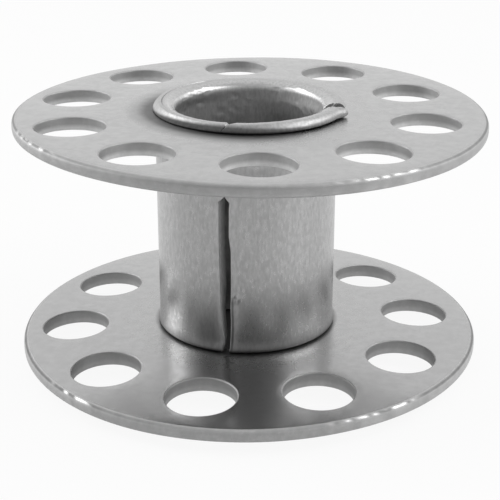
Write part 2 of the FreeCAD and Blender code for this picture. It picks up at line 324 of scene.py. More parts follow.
# %% Fine scratches from tumbling
SCRATCH_TURNS = (0.3, 1.25, 2.3)
SCRATCH_STRETCH = (26.0, 1.1, 6.0)
SCRATCH_EDGE, SCRATCH_FULL = 0.60, 0.74

scratches, scratches_in, scratches_out = node_group(
    "tumbling_scratches",
    [("Place", "NodeSocketVector", None), ("Fineness", "NodeSocketFloat", 1.0)],
    [("Scratch", "NodeSocketFloat")])
scratch_sum = None
for turn in SCRATCH_TURNS:
    turned = add_node(scratches, "ShaderNodeVectorRotate", rotation_type="Z_AXIS", sockets={"Angle": turn})
    scratches.links.new(scratches_in.outputs["Place"], turned.inputs["Vector"])
    drawn_out = stretched(scratches, turned.outputs["Vector"], [s * PER_MM for s in SCRATCH_STRETCH])
    lines = add_node(scratches, "ShaderNodeTexNoise", noise_dimensions="3D",
                     sockets={"Detail": 2.0, "Roughness": 0.5, "Distortion": 0.15})
    scratches.links.new(drawn_out, lines.inputs["Vector"])
    scratches.links.new(scratches_in.outputs["Fineness"], lines.inputs["Scale"])
    mask = map_range(scratches, lines.outputs["Fac"], SCRATCH_EDGE, SCRATCH_FULL, 0.0, 1.0)
    scratch_sum = math_node(scratches, "MAXIMUM", scratch_sum, mask) if scratch_sum else mask
scratches.links.new(scratch_sum, scratches_out.inputs["Scratch"])
print("node group", scratches.name, "in", len(SCRATCH_TURNS), "directions")

# %% [markdown]
# ## Two finishes of steel
#
# The discs are punched from cold rolled sheet, tumbled and plated: an even satin grey that mirrors softly.
# The tube is rolled from strip, and its mottling runs along the barrel. One recipe serves both.
# Wear, dirt and painted shade could be masks made in the nodes, but they belong to places on the bobbin.
# So each mesh carries painted values, such as how worn a place is or how dark it is painted, and the recipe
# turns each into a change of shade and of roughness. The dark values are mostly painted shade: in corners,
# under the lip and the upper flange, down the bore and in the tear.

# %% Metal material
PAINTED_MARKS = {
    "worn": {"shade": 1.2, "rough": 0.20},
    "polished": {"shade": 1.15, "rough": -0.10},
    "scuffed": {"shade": 1.1, "rough": 0.36},
    "sheared": {"shade": 1.0, "rough": 0.36},
    # the broken zone low in the hole walls is rougher, and painted much lighter as a painted highlight
    "broken": {"shade": 1.9, "rough": 0.20},
    "dull": {"shade": 1.5, "rough": 0.30},
    # painted shade: darkens the corners, under the lip and the upper flange, the bore and the tear
    "grime": {"shade": 0.25, "rough": 0.10},
    # painted shade again: a second darkening of the lip's underside, deepest at the front left
    "tarnish": {"shade": 0.35, "rough": 0.10},
}
CLOUD_ROUGHNESS = 0.12
SHADE_DETAIL, GRAIN_DETAIL = 6.0, 3.0
SCRATCH_RELIEF = 0.5


def steel(name, base, cloud_size, cloud_depth, roughness, scratch_depth, streak, bump_height, bump_size):
    """Satin plated steel with clouds and scratches, and with the marks that are painted on a piece."""
    material, tree, output = node_material(name)
    place = add_node(tree, "ShaderNodeTexCoord").outputs["Object"]
    along = stretched(tree, place, streak)

    cloud = add_node(tree, "ShaderNodeGroup", node_tree=clouds,
                     sockets={"Size per mm": cloud_size, "Detail": SHADE_DETAIL})
    tree.links.new(along, cloud.inputs["Place"])
    scratch = add_node(tree, "ShaderNodeGroup", node_tree=scratches, sockets={"Fineness": 1.0})
    tree.links.new(place, scratch.inputs["Place"])

    shade = map_range(tree, cloud.outputs["Cloud"], 0.0, 1.0,
                      base * (1 - cloud_depth), base * (1 + cloud_depth), "LINEAR")
    scratch_shade = map_range(tree, scratch.outputs["Scratch"], 0.0, 1.0, 1.0, 1.0 + scratch_depth, "LINEAR")
    shade = math_node(tree, "MULTIPLY", shade, scratch_shade)
    rough = map_range(tree, cloud.outputs["Cloud"], 0.0, 1.0,
                      roughness * (1 + CLOUD_ROUGHNESS), roughness * (1 - CLOUD_ROUGHNESS), "LINEAR")
    for mark, change in PAINTED_MARKS.items():
        amount = add_node(tree, "ShaderNodeAttribute", attribute_name=mark).outputs["Fac"]
        mark_shade = map_range(tree, amount, 0.0, 1.0, 1.0, change["shade"], "LINEAR")
        shade = math_node(tree, "MULTIPLY", shade, mark_shade)
        rough = math_node(tree, "ADD", rough, math_node(tree, "MULTIPLY", amount, change["rough"]))

    grain = add_node(tree, "ShaderNodeGroup", node_tree=clouds,
                     sockets={"Size per mm": bump_size, "Detail": GRAIN_DETAIL})
    tree.links.new(along, grain.inputs["Place"])
    relief = math_node(tree, "SUBTRACT", grain.outputs["Cloud"],
                       math_node(tree, "MULTIPLY", scratch.outputs["Scratch"], SCRATCH_RELIEF))
    bump = add_node(tree, "ShaderNodeBump", sockets={"Strength": 1.0, "Distance": bump_height * MM})
    tree.links.new(relief, bump.inputs["Height"])

    metal = add_node(tree, "ShaderNodeBsdfPrincipled", sockets={"Metallic": 1.0})
    tree.links.new(shade, metal.inputs["Base Color"])
    tree.links.new(rough, metal.inputs["Roughness"])
    tree.links.new(bump.outputs["Normal"], metal.inputs["Normal"])
    tree.links.new(metal.outputs["BSDF"], output.inputs["Surface"])
    return material


flange_steel = steel("flange_steel", base=0.44, cloud_size=2.4, cloud_depth=0.03, roughness=0.23,
                     scratch_depth=0.06, streak=(1.0, 1.0, 1.0), bump_height=0.0006, bump_size=7.0)
tube_steel = steel("tube_steel", base=0.43, cloud_size=9.0, cloud_depth=0.10, roughness=0.30,
                   scratch_depth=0.02, streak=(1.0, 1.0, 0.35), bump_height=0.00015, bump_size=12.0)
print("materials:", flange_steel.name, tube_steel.name)

# %% [markdown]
# ## Turning points into pieces
#
# Each piece is one closed mesh, made from points in millimetres.
# The helper writes the painted values, puts the piece on the bobbin's body, and hides the node it replaces.

# %% Piece helper
SHARP_ANGLE = math.radians(42)
SAME_POINT = 1e-5


def make_piece(name, points, faces, painted, node, material):
    """Builds a closed mesh, shades it, paints its values and sets it in the frame."""
    mesh = bpy.data.meshes.new(name)
    mesh.from_pydata([Vector(p) * MM for p in points], [], faces)
    for mark, values in painted.items():
        mesh.attributes.new(mark, "FLOAT", "POINT").data.foreach_set("value", values)
    cleaned = bmesh.new()
    cleaned.from_mesh(mesh)
    bmesh.ops.remove_doubles(cleaned, verts=cleaned.verts, dist=SAME_POINT * MM)
    bmesh.ops.recalc_face_normals(cleaned, faces=cleaned.faces)
    open_edges = sum(1 for e in cleaned.edges if len(e.link_faces) != 2)
    cleaned.to_mesh(mesh)
    cleaned.free()
    mesh.shade_smooth()
    mesh.set_sharp_from_angle(angle=SHARP_ANGLE)
    mesh.materials.append(material)
    piece = bpy.data.objects.new(name, mesh)
    bpy.context.scene.collection.objects.link(piece)
    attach(piece, "root")
    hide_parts(node)
    mesh.calc_loop_triangles()
    print(name, len(mesh.loop_triangles), "triangles,", open_edges, "open edges")
    return piece


def smooth_step(low, high, value):
    """0 below low, 1 above high, and a smooth change between them."""
    t = min(max((value - low) / (high - low), 0.0), 1.0)
    return t * t * (3 - 2 * t)


def blend(a, b, t):
    """A value part of the way from a to b."""
    return a + (b - a) * t


def facing(angle, turn):
    """1 on the side of the axis that looks towards an angle, falling to 0 a quarter turn away and beyond."""
    return max(math.cos(angle - turn), 0.0)


# %% [markdown]
# ## The punched flanges
#
# A disc could be a cylinder with ten cylinders cut from it, but such a cut leaves long thin faces that shade
# badly. Here the flat pattern is laid out as a toolmaker would: the rim, the eye and ten holes as loops in
# the plane, with a grid of points between them, joined by a constrained triangulation.
# The pattern gives the top and the bottom face. Each loop gets a wall: the rim is rounded at both edges, as
# tumbling leaves it, and a hole is rounded on top and broken off below, as the punch leaves it.

# %% Loops of the flat pattern
HOLES = 10
HOLE_RADIUS = 1.48
HOLE_CIRCLE = 7.79
OFF_CENTRE = Vector((-0.12, 0.0))
EYE_RADIUS = 3.56
RIM_ROUND, HOLE_ROUND, EYE_ROUND = 0.2, 0.07, 0.04
RIM_POINTS, HOLE_POINTS, EYE_POINTS = 256, 72, 128
RIM_SIDE, HOLE_SIDE = 1, -1


def ring(centre, radius, count):
    """Points round a circle in the plane."""
    return [Vector((centre[0] + radius * math.cos(2 * math.pi * i / count),
                    centre[1] + radius * math.sin(2 * math.pi * i / count))) for i in range(count)]


def flange_loops(first_hole_angle, rim_radius):
    """The loops of a flange: centre, radius of the wall, points, edge round, and the side the metal is on."""
    loops = [(Vector((FLANGE_RADIUS - rim_radius, 0.0)), rim_radius, RIM_POINTS, RIM_ROUND, RIM_SIDE),
             (OFF_CENTRE, EYE_RADIUS, EYE_POINTS, EYE_ROUND, HOLE_SIDE)]
    for i in range(HOLES):
        angle = math.radians(first_hole_angle + 360 * i / HOLES)
        centre = OFF_CENTRE + HOLE_CIRCLE * Vector((math.cos(angle), math.sin(angle)))
        loops.append((centre, HOLE_RADIUS, HOLE_POINTS, HOLE_ROUND, HOLE_SIDE))
    return loops


print(HOLES, "holes of", 2 * HOLE_RADIUS, "mm on a circle of", 2 * HOLE_CIRCLE, "mm")

# %% Fill the flat pattern
FOOT_RINGS = (4.04, 4.10, 4.20)
SHADE_RINGS = (4.40, 4.75, 5.30)
GRID_STEP = 0.42
ROW_STEP = 0.866 * GRID_STEP
GRID_CLEAR = 0.4 * GRID_STEP
JOIN_WITHIN, OUTSIDE_BY = 1e-6, 1e-3


def depth_in_sheet(point, loops):
    """How far a point of the plane lies inside the flat face from its nearest edge, negative outside it."""
    return min(side * (radius - (centre - point).length) - rounded
               for centre, radius, _, rounded, side in loops)


def grid_points(loops):
    """Points of an even triangular grid that lie clear of the core and of every edge."""
    rows = int(FLANGE_RADIUS / GRID_STEP) + 1
    found = []
    for row in range(-rows, rows + 1):
        for column in range(-rows, rows + 1):
            point = Vector(((column + 0.5 * (row % 2)) * GRID_STEP, row * ROW_STEP))
            clear_of_core = (point - OFF_CENTRE).length > SHADE_RINGS[-1] + GRID_CLEAR
            if clear_of_core and depth_in_sheet(point, loops) > GRID_CLEAR:
                found.append(point)
    return found


def flat_pattern(loops):
    """Triangulates the flat face. Returns its points, its triangles and the point numbers of each loop."""
    points, edges, loop_starts = [], [], []
    for centre, radius, count, rounded, side in loops:
        start = len(points)
        loop_starts.append((start, count))
        points += ring(centre, radius - side * rounded, count)
        edges += [(start + i, start + (i + 1) % count) for i in range(count)]
    for radius in FOOT_RINGS + SHADE_RINGS:
        points += ring(OFF_CENTRE, radius, EYE_POINTS)
    points += grid_points(loops)
    flat_points, _, triangles, sources, _, _ = delaunay_2d_cdt(points, edges, [], 0, JOIN_WITHIN)
    number_of = {source: i for i, found in enumerate(sources) for source in found}
    kept = []
    for t in triangles:
        middle = (flat_points[t[0]] + flat_points[t[1]] + flat_points[t[2]]) / 3
        if depth_in_sheet(middle, loops) > -OUTSIDE_BY:
            kept.append(t)
    return flat_points, kept, [[number_of[start + i] for i in range(count)] for start, count in loop_starts]


# %% [markdown]
# ## Bend and wear of the flanges
#
# Years of tight thread have dished the thin discs, and they lean, twist and wave a little.
# Their rims are rubbed bright where they were handled and the sheet is scuffed round the core. Shade is
# painted dark in the corner round the core and in front of the upper lip. Lengths are in millimetres, and the
# bright stretches are given as an angle and a reach.

# %% Bend the sheet
SHEET_WAVE, WAVE_FINENESS = 0.012, 0.22
FREE_FROM, FREE_TO = LIP_RADIUS, LIP_RADIUS + 2.5
DISH_POWER = 1.8
UPPER_BEND = {"eye": 0.05, "lip_lift": 0.05, "eye_lean": -0.012, "rim": 0.03,
              "lean": -0.0048, "twist": 0.0015, "seed": 3.1}
LOWER_BEND = {"eye": 0.185, "lip_lift": 0.0, "eye_lean": 0.0, "rim": -0.055,
              "lean": 0.0036, "twist": -0.0007, "seed": 7.7}


def sheet_bend(x, y, bend):
    """How far the thin sheet lies off its plane."""
    away = math.hypot(x, y)
    outward = min(max((away - FREE_FROM) / (FLANGE_RADIUS - FREE_FROM), 0.0), 1.0)
    ripple = noise.noise(Vector((x * WAVE_FINENESS, y * WAVE_FINENESS, bend["seed"])))
    wave = bend["lean"] * x + bend["twist"] * x * y + SHEET_WAVE * ripple
    free = smooth_step(FREE_FROM, FREE_TO, away)
    at_lip = bend["lip_lift"] + bend["eye_lean"] * x
    return blend(bend["eye"], bend["rim"], outward ** DISH_POWER) + blend(at_lip, wave, free)


print("front of the rims lies off its plane by",
      [round(sheet_bend(0.0, -FLANGE_RADIUS, bend), 3) for bend in (UPPER_BEND, LOWER_BEND)], "mm")

# %% Wear of the sheet, and painted shade round the core
SHINE_FADE, SHINE_BREAKS = (0.5, 1.0), (-0.1, 0.15)
SHINE_FINENESS, SHINE_SEED = 4.5, 8.8
SHADE_TURN = math.radians(212)
FOOT_SCUFF, SCUFF_REACH = 0.15, 2.6
# Painted shade: dark in the corner round the core, and wider on the upper flange in front of its lip.
UPPER_SHADE = {"corner": 0.1, "shade": 1.5}
LOWER_SHADE = {"corner": 0.55, "shade": 0.0}
UPPER_SHINE = ((-150, 14), (-61, 13))
LOWER_SHINE = ((-136, 9), (-60, 15))


def rim_shine(x, y, places):
    """1 where the rim has been rubbed bright, in broken stretches about the given angles, and 0 elsewhere."""
    angle = math.degrees(math.atan2(y, x))
    near = max(1 - smooth_step(*SHINE_FADE, abs(angle - middle) / reach) for middle, reach in places)
    breaks = noise.noise(Vector((x * SHINE_FINENESS, y * SHINE_FINENESS, SHINE_SEED)))
    return near * smooth_step(*SHINE_BREAKS, breaks)


def foot_shade(point, amounts):
    """Painted shade: dark in the corner round the core, and wider in front of a lip."""
    from_core = (point - OFF_CENTRE).length
    corner = amounts["corner"] * (1 - smooth_step(FOOT_RINGS[0], FOOT_RINGS[-1], from_core))
    in_front = facing(math.atan2(point.y, point.x), SHADE_TURN)
    shade = amounts["shade"] * in_front * (1 - smooth_step(FOOT_RINGS[0], SHADE_RINGS[-1], point.length))
    return max(corner, shade)


def foot_scuff(point):
    """How much the thread and the winder's pin have roughened the sheet near the core."""
    return FOOT_SCUFF * (1 - smooth_step(FOOT_RINGS[-1], FOOT_RINGS[-1] + SCUFF_REACH, point.length))


print("bright stretches of the rims, in degrees:", UPPER_SHINE, LOWER_SHINE)

# %% Walls of the rim and the holes
ROUND_STEPS = 6
BURR_ROUND = 0.015
BREAK_LEVEL, BREAK_FADE = -0.09, 0.08
HALF_SHEET = FLANGE_THICKNESS / 2
# A painted dark reflection along the rounded top edge of the rim, beside the rubbed line.
EDGE_SHADE = 0.6
EDGE_STEPS_RUBBED, DIM_SHINE = (1, 2), 0.3


def wall_levels(rounded, side, burr):
    """The rows of a wall below the top face: how far each is set into the metal, and its height."""
    turns = [math.pi / 2 * step / ROUND_STEPS for step in range(1, ROUND_STEPS + 1)]
    levels = [(rounded * (1 - math.sin(t)), HALF_SHEET - rounded * (1 - math.cos(t))) for t in turns]
    if side == RIM_SIDE:
        return levels + [(inset, -level) for inset, level in reversed(levels)]
    levels += [(0.0, BREAK_LEVEL + BREAK_FADE), (0.0, BREAK_LEVEL - BREAK_FADE)]
    return levels + [(0.0, BURR_ROUND - HALF_SHEET - burr), (BURR_ROUND, -HALF_SHEET - burr)]


def rim_marks(point, step, radius, made):
    """Wear of one point of the rim: a bright rubbed line with a painted dark reflection beside it, on a
    scuffed wall.
    """
    shine = rim_shine(point.x, point.y, made["shine"])
    rubbed = step in EDGE_STEPS_RUBBED
    bright = (1.0 if rubbed else DIM_SHINE) * shine
    return {"worn": made["rubbed"], "polished": bright, "scuffed": 1 - bright,
            "grime": EDGE_SHADE * rubbed * (1 - shine) * abs(point.x) / radius}


print("rows in a rim's wall", len(wall_levels(RIM_ROUND, RIM_SIDE, 0.0)),
      "and in a hole's wall", len(wall_levels(HOLE_ROUND, HOLE_SIDE, 0.0)))

# %% Give the pattern thickness
FLANGE_MARKS = ("worn", "polished", "scuffed", "sheared", "broken", "grime")


def make_flange(name, node, low_z, made):
    """One punched disc: the flat pattern twice, and a wall for each loop of it."""
    loops = flange_loops(made["first_hole"], made["rim_radius"])
    flat_points, triangles, rings = flat_pattern(loops)
    points, faces = [], []
    painted = {mark: [] for mark in FLANGE_MARKS}

    def add(p, level, **marks):
        points.append((p.x, p.y, low_z + HALF_SHEET + level + sheet_bend(p.x, p.y, made["bend"])))
        # painted shade round the core and in front of the lip
        marks["grime"] = max(marks.get("grime", 0.0), foot_shade(p, made["grime"]))
        for mark in FLANGE_MARKS:
            painted[mark].append(marks.get(mark, 0.0))
        return len(points) - 1

    top = [add(p, HALF_SHEET, scuffed=foot_scuff(p)) for p in flat_points]
    bottom = [add(p, -HALF_SHEET) for p in flat_points]
    faces += [tuple(top[i] for i in t) for t in triangles]
    faces += [tuple(bottom[i] for i in reversed(t)) for t in triangles]

    for (centre, radius, count, rounded, side), numbers in zip(loops, rings):
        walls = [[top[i] for i in numbers]]
        for step, (inset, level) in enumerate(wall_levels(rounded, side, made["burr"])):
            row = ring(centre, radius - side * inset, count)
            if side == RIM_SIDE:
                walls.append([add(p, level, **rim_marks(p, step, radius, made)) for p in row])
            else:
                # The broken zone low in a hole's wall is real; its lighter colour is a painted highlight.
                broken = made["broken"] * (level < BREAK_LEVEL)
                walls.append([add(p, level, sheared=1.0, broken=broken) for p in row])
        walls.append([bottom[i] for i in numbers])
        for upper_ring, lower_ring in zip(walls, walls[1:]):
            for i in range(count):
                j = (i + 1) % count
                faces.append((upper_ring[i], lower_ring[i], lower_ring[j], upper_ring[j]))

    used = sorted({i for face in faces for i in face})
    new_number = {old: new for new, old in enumerate(used)}
    piece = make_piece(name, [points[i] for i in used], [tuple(new_number[i] for i in f) for f in faces],
                       {mark: [values[i] for i in used] for mark, values in painted.items()},
                       node, flange_steel)
    even = piece.modifiers.new("flat_faces_stay_flat", "WEIGHTED_NORMAL")
    even.keep_sharp = True
    return piece


# %% Make both flanges
UPPER_RIM_WORN_BY = 0.06

make_flange("upper_flange_disc", "upper_flange", upper_low.z, {
    "first_hole": 21.8, "rim_radius": FLANGE_RADIUS - UPPER_RIM_WORN_BY, "burr": 0.0, "rubbed": 0.3,
    "broken": 0.75, "bend": UPPER_BEND, "grime": UPPER_SHADE, "shine": UPPER_SHINE})
make_flange("lower_flange_disc", "lower_flange", lower_low.z, {
    "first_hole": 4.5, "rim_radius": FLANGE_RADIUS, "burr": 0.05, "rubbed": 1.0,
    "broken": 0.3, "bend": LOWER_BEND, "grime": LOWER_SHADE, "shine": LOWER_SHINE})

# %% [markdown]
# ## The rolled core
#
# The core is a strip, rolled until its edges nearly meet, with both ends flared over the flanges.
# A lathe profile spun round the axis would close the seam, so the profile is swept from one edge of the seam
# to the other instead, and the two end sections are closed with caps.
# The profile goes up the bore, over the upper lip, down the neck and barrel, round the lower lip and back.

# %% Draw the profile of the core
BARREL_RADIUS = 3.94
UPPER_SWELL, LOWER_SWELL, SWELL_LENGTH = 0.10, 0.06, 0.70
NECK_RADIUS = 3.54
SHOULDER_ROUND = 0.15
NOSE_ROUND, TUCK_ROUND = 0.30, 0.12
UPPER_FACE = upper_high.z
SHOULDER = upper_low.z
FLARE_STEPS, CREST_STEPS, NOSE_STEPS, TUCK_STEPS, FACE_STEPS = 22, 5, 9, 8, 4
NECK_STEPS, SHOULDER_STEPS, SHOULDER_ROUND_STEPS, SWELL_STEPS = 3, 3, 6, 9


def straight(start, end, count):
    """Points from start towards end, without the end itself."""
    return [(blend(start[0], end[0], i / count), blend(start[1], end[1], i / count)) for i in range(count)]


def bow(r, z, radius, from_angle, to_angle, count):
    """Points along an arc, without its last point. Angles in degrees, 0 outwards and 90 up."""
    turns = [math.radians(blend(from_angle, to_angle, i / count)) for i in range(count)]
    return [(r + radius * math.cos(t), z + radius * math.sin(t)) for t in turns]


def upper_end(swell):
    """The upper end of the profile, from the top of the bore to the top of the barrel."""
    nose_r, nose_z = LIP_RADIUS - NOSE_ROUND, HEIGHT - NOSE_ROUND
    tuck_r, tuck_z = LIP_RADIUS - TUCK_ROUND, UPPER_FACE + TUCK_ROUND
    round_r, round_z = BARREL_RADIUS + swell - SHOULDER_ROUND, SHOULDER - SHOULDER_ROUND
    end = bow(CREST_INSIDE, HEIGHT - FLARE_RADIUS, FLARE_RADIUS, 180, 90, FLARE_STEPS)
    end += straight((CREST_INSIDE, HEIGHT), (nose_r, HEIGHT), CREST_STEPS)
    end += bow(nose_r, nose_z, NOSE_ROUND, 90, 0, NOSE_STEPS)
    end += straight((LIP_RADIUS, nose_z), (LIP_RADIUS, tuck_z), 1)
    end += bow(tuck_r, tuck_z, TUCK_ROUND, 0, -90, TUCK_STEPS)
    end += straight((tuck_r, UPPER_FACE), (NECK_RADIUS, UPPER_FACE), FACE_STEPS)
    end += straight((NECK_RADIUS, UPPER_FACE), (NECK_RADIUS, SHOULDER), NECK_STEPS)
    end += straight((NECK_RADIUS, SHOULDER), (round_r, SHOULDER), SHOULDER_STEPS)
    end += bow(round_r, round_z, SHOULDER_ROUND, 90, 0, SHOULDER_ROUND_STEPS)
    for i in range(SWELL_STEPS):
        t = i / SWELL_STEPS
        end.append((BARREL_RADIUS + swell * (1 - t) ** 2, round_z - (SWELL_LENGTH - SHOULDER_ROUND) * t))
    return end


# %% Join the profile
FINE_BORE = HEIGHT - 3.5
BORE_STEPS, FINE_BORE_STEPS, BARREL_STEPS = 12, 28, 84
BARREL_TOP = SHOULDER - SWELL_LENGTH
LEVEL_WITHIN = 1e-6

upper = upper_end(UPPER_SWELL)
lower = [(r, HEIGHT - z) for r, z in reversed(upper_end(LOWER_SWELL))]
bore_line = straight((BORE_RADIUS, FLARE_RADIUS), (BORE_RADIUS, FINE_BORE), BORE_STEPS)[1:]
bore_line += straight((BORE_RADIUS, FINE_BORE), (BORE_RADIUS, HEIGHT - FLARE_RADIUS), FINE_BORE_STEPS)
barrel_line = straight((BARREL_RADIUS, BARREL_TOP), (BARREL_RADIUS, HEIGHT - BARREL_TOP), BARREL_STEPS)
profile = bore_line + upper + barrel_line + lower
LIP_FIRST = len(bore_line) + min(i for i, (r, z) in enumerate(upper) if z > UPPER_FACE)
LIP_LAST = len(bore_line) + max(i for i, (r, z) in enumerate(upper) if z >= UPPER_FACE - LEVEL_WITHIN)
CREASE = profile.index(min(profile, key=lambda p: abs(p[0] - CREST_INSIDE) + abs(p[1] - HEIGHT)))
print("profile", len(profile), "points, the upper lip from", LIP_FIRST, "to", LIP_LAST,
      "with its crease at", CREASE)

# %% [markdown]
# ## The seam and the tear
#
# The two sheared edges of the strip are not quite straight, so each is given by a few heights and its
# distance from the middle of the seam there. Near the top of the barrel necking has closed the seam.
# In the lip it is a slanting notch, because the flaring tool spreads the strip.
# At the right the lip has torn, and the front part ends in a ragged tongue that is bent outwards.
# Both are worked out as angles round the axis, for each point of the profile.

# %% Edges of the seam
SEAM_ANGLE = math.radians(256.8)
SEAM_EDGES = {
    "left": [(0.97, 0.13), (1.65, 0.06), (2.35, 0.11), (2.75, 0.15), (3.35, 0.19), (6.65, 0.25),
             (8.10, 0.24), (8.32, 0.03)],
    "right": [(0.97, 0.20), (2.65, 0.245), (3.35, 0.228), (3.95, 0.235), (5.85, 0.235), (6.65, 0.15),
              (7.75, 0.16), (8.10, 0.19), (8.32, 0.03)],
}
WALL_LEAN, LEAN_FROM, LEAN_TO = 0.09, 2.8, 4.2
CLOSED_FROM, CLOSED_TO = 8.00, 8.22
SPLIT_EDGES = {"left": (0.05, 0.05), "right": (0.29, -0.04)}
SPLIT_FROM, SPLIT_TO = 3.70, 4.08
SPLIT_SLANT = {"left": 0.13, "right": -0.13}
SLANT_FROM, SLANT_TO = 0.05, 0.35
SPLIT_STARTS_BELOW = 0.3


def between(waypoints, z):
    """The value at a height, with a smooth change from each waypoint to the next."""
    value = waypoints[0][1]
    for (z0, v0), (z1, v1) in zip(waypoints, waypoints[1:]):
        if z > z0:
            value = blend(v0, v1, smooth_step(z0, z1, z))
    return value


def seam_edge(r, z, side):
    """Distance from the middle of the seam to one edge of the strip."""
    from_end = min(z, HEIGHT - z)
    outward = min(max((r - SPLIT_FROM) / (SPLIT_TO - SPLIT_FROM), 0.0), 1.0)
    down_the_nose = smooth_step(SLANT_FROM, SLANT_TO, from_end) * smooth_step(CREST_INSIDE, LIP_RADIUS, r)
    in_lip = blend(*SPLIT_EDGES[side], outward) + SPLIT_SLANT[side] * down_the_nose
    lip_share = smooth_step(SHOULDER - SPLIT_STARTS_BELOW, UPPER_FACE, HEIGHT - from_end)
    in_barrel = between(SEAM_EDGES[side], z)
    if side == "left":
        inward = smooth_step(0.0, 1.0, (BARREL_RADIUS - r) / (BARREL_RADIUS - BORE_RADIUS))
        open_part = smooth_step(LEAN_FROM, LEAN_TO, z) * (1 - smooth_step(CLOSED_FROM, CLOSED_TO, z))
        in_barrel -= WALL_LEAN * inward * open_part
    return blend(in_barrel, in_lip, lip_share)


seam_width = sum(seam_edge(BARREL_RADIUS, MIDDLE, side) for side in SEAM_EDGES)
print("seam at half height", round(seam_width, 3), "mm wide")

# %% Edges of the tear
TEAR_ANGLE = math.radians(347.5) - SEAM_ANGLE
TEAR_EDGES = {"front": (0.30, 0.28), "rear": (0.25, 0.30)}
TEAR_SEEDS = {"front": 9.0, "rear": 15.0}
TEAR_RAGGED, RAGGED_FINENESS = 0.05, 4.1
TEAR_SPLINTERS, SPLINTER_FINENESS = 0.035, 13.0


def tear_edge(r, z, side):
    """Angle from the middle of the tear to one of its ragged edges."""
    outward = (r - BORE_RADIUS) / (LIP_RADIUS - BORE_RADIUS)
    seed = TEAR_SEEDS[side]
    half = blend(*TEAR_EDGES[side], outward)
    half += TEAR_RAGGED * noise.noise(Vector((r * RAGGED_FINENESS, z * RAGGED_FINENESS, seed)))
    half += TEAR_SPLINTERS * noise.noise(Vector((r * SPLINTER_FINENESS, z * SPLINTER_FINENESS, seed)))
    return half / r


print("tear", round(math.degrees(TEAR_ANGLE), 1), "degrees round from the seam")

# %% Columns of the sweep
EDGE_STEPS = 4
FRONT_COLUMNS, TEAR_COLUMNS, REAR_COLUMNS = 96, 5, 206
CROWDING = 0.75


def crowded(share):
    """Moves the columns of a span towards its two ends, where the fine detail is."""
    return share - CROWDING * math.sin(2 * math.pi * share) / (2 * math.pi)


def core_columns():
    """Each column of the sweep: its span, its share of it, the edge it rounds and how far it has turned."""
    turns = [math.pi / 2 * k / EDGE_STEPS for k in range(EDGE_STEPS + 1)]
    columns = [("front", 0.0, "seam", t) for t in turns]
    columns += [("front", crowded(j / FRONT_COLUMNS), None, None) for j in range(1, FRONT_COLUMNS)]
    columns += [("front", 1.0, "tear", t) for t in reversed(turns)]
    columns += [("tear", j / TEAR_COLUMNS, None, None) for j in range(TEAR_COLUMNS + 1)]
    columns += [("rear", 0.0, "tear", t) for t in turns]
    columns += [("rear", crowded(j / REAR_COLUMNS), None, None) for j in range(1, REAR_COLUMNS)]
    columns += [("rear", 1.0, "seam", t) for t in reversed(turns)]
    return columns


def outward_normals(loop):
    """The direction out of the metal at each point of the profile."""
    normals = []
    for i in range(len(loop)):
        (r0, z0), (r1, z1) = loop[i - 1], loop[(i + 1) % len(loop)]
        along = Vector((r1 - r0, z1 - z0)).normalized()
        normals.append(Vector((-along.y, along.x)))
    return normals


columns = core_columns()
normals = outward_normals(profile)
print("sweep of", len(columns), "columns")

# %% Place a point of the sweep
SEAM_ROLL_HIGH, SEAM_ROLL_LOW, SEAM_ROLL_INSIDE, TEAR_ROLL = 0.10, 0.05, 0.04, 0.03
STRIP_LOW, STRIP_HIGH = 3.35, 4.3
FACES_IN, FACES_OUT = -0.3, 0.7


def seam_roll(on_barrel, z):
    """How far the edge of the seam is rounded: most on the upper barrel, little inside or where it closes."""
    if not on_barrel:
        return SEAM_ROLL_INSIDE
    roll = blend(SEAM_ROLL_LOW, SEAM_ROLL_HIGH, smooth_step(STRIP_LOW, STRIP_HIGH, z))
    return blend(roll, SEAM_ROLL_INSIDE, smooth_step(CLOSED_FROM, CLOSED_TO, z))


def place_in_sweep(spot, roll):
    """Sets a spot's angle round the axis, its inset at a rounded edge, and its way to seam and tear."""
    r, z = spot.r, spot.z
    seam_start = math.asin(seam_edge(r, z, "right") / r)
    seam_end = 2 * math.pi - math.asin(seam_edge(r, z, "left") / r)
    tear_start = TEAR_ANGLE - tear_edge(r, z, "front")
    tear_end = TEAR_ANGLE + tear_edge(r, z, "rear")
    spans = {
        "front": (seam_start + roll / r, tear_start - TEAR_ROLL / r),
        "tear": (tear_start, tear_end),
        "rear": (tear_end + TEAR_ROLL / r, seam_end - roll / r),
    }
    angle, spot.inset = blend(*spans[spot.span], spot.share), 0.0
    if spot.edge:
        radius = roll if spot.edge == "seam" else TEAR_ROLL
        towards_gap = -1 if (spot.span == "front") == (spot.edge == "seam") else 1
        angle += towards_gap * radius * math.cos(spot.turn) / r
        if spot.edge == "seam" or spot.in_lip:
            spot.inset = radius * (1 - math.sin(spot.turn))
    spot.from_seam = (angle - seam_start) * r if spot.span == "front" else (seam_end - angle) * r
    spot.from_tear = (tear_start - angle) * r
    spot.angle = SEAM_ANGLE + angle


def core_spot(i, column):
    """One point of the profile in one column, with what the marks need to know of it."""
    r, z = profile[i]
    span, share, edge, turn = column
    spot = SimpleNamespace(i=i, r=r, z=z, normal=normals[i], span=span, share=share, edge=edge, turn=turn)
    spot.in_lip = LIP_FIRST <= i <= LIP_LAST
    spot.inside = spot.normal.x < FACES_IN and r < CREST_INSIDE
    spot.on_barrel = spot.normal.x > FACES_OUT and z < SHOULDER and HEIGHT - z < SHOULDER
    spot.torn_floor = span == "tear" and spot.in_lip
    place_in_sweep(spot, seam_roll(spot.on_barrel, z))
    return spot


print("first point of the sweep", round(core_spot(0, columns[0]).from_seam, 3), "mm from the seam's edge")

